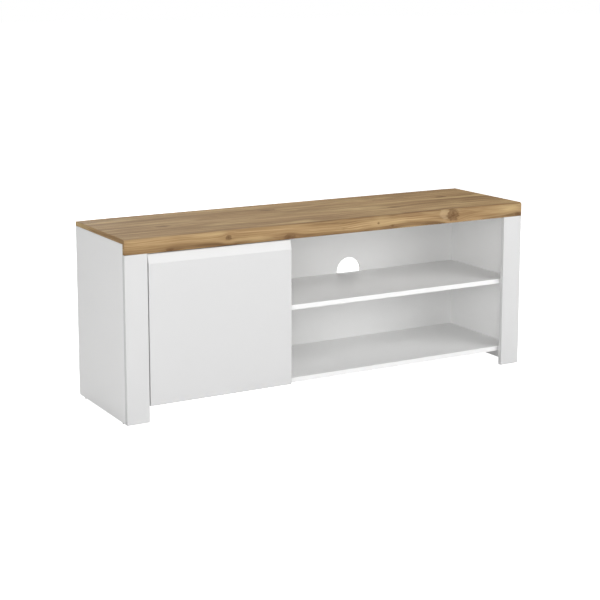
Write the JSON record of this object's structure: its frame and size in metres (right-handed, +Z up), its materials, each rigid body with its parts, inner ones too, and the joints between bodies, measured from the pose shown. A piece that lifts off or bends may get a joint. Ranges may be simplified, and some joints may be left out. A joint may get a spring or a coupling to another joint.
{
  "type": "tv stand with doors",
  "caption": "Low flat-pack TV stand: a hinged door at left, open bays and a cable outlet at right, under an oak-look top whose front edge is folded down.",
  "frame": {"origin": "on the floor, at the middle of the footprint", "axes": "+X to the right and +Y to the back as seen from the front, +Z up"},
  "size_m": [1.5, 0.4, 0.582],
  "materials": {
    "oak_foil": "satin oak look",
    "white_board": "white melamine",
    "white_door": "white satin foil",
    "hardboard": "white lacquered hardboard",
    "white_plastic": "moulded white",
    "black_plastic": "moulded glide",
    "clear_bumper": "soft",
    "beech": "raw beech",
    "zinc": "die-cast zinc",
    "steel": "zinc plated",
    "nickel": "nickel plated"
  },
  "bodies": {
    "carcass": {"top_board": "oak_foil", "top_apron": "oak_foil", "left_side_panel": "white_board", "right_side_panel": "white_board", "bottom_panel": "white_board", "divider": "white_board", "open_shelf": "white_board", "inner_shelf": "white_board", "hinge_batten": "white_board", "left_post": "white_door", "right_post": "white_door", "left_back_panel": "hardboard", "right_back_panel": "hardboard", "back_joining_strip": "white_plastic", "glides": "black_plastic", "door_bumpers": "clear_bumper", "wooden_dowels": "beech", "cam_housings": "zinc", "cam_bolts": "steel", "back_nails": "steel", "shelf_pins": "steel", "post_brackets": "steel", "post_bracket_screws": "steel", "hinge_plate_screws": "steel", "hinge_arm_screws": "steel", "lower_hinge_plate": "nickel", "upper_hinge_plate": "nickel", "lower_hinge_arm": "nickel", "upper_hinge_arm": "nickel"},
    "door": {"door_panel": "white_door", "lower_hinge_cup": "nickel", "upper_hinge_cup": "nickel", "lower_hinge_pin": "steel", "upper_hinge_pin": "steel", "hinge_cup_screws": "steel"}
  },
  "joints": [
    {"name": "door_swing", "type": "hinge", "parent": "carcass", "child": "door", "pos_m": [-0.662, -0.193, 0.29325], "axis": [0, 0, -1], "range_deg": [0, 95]}
  ]
}
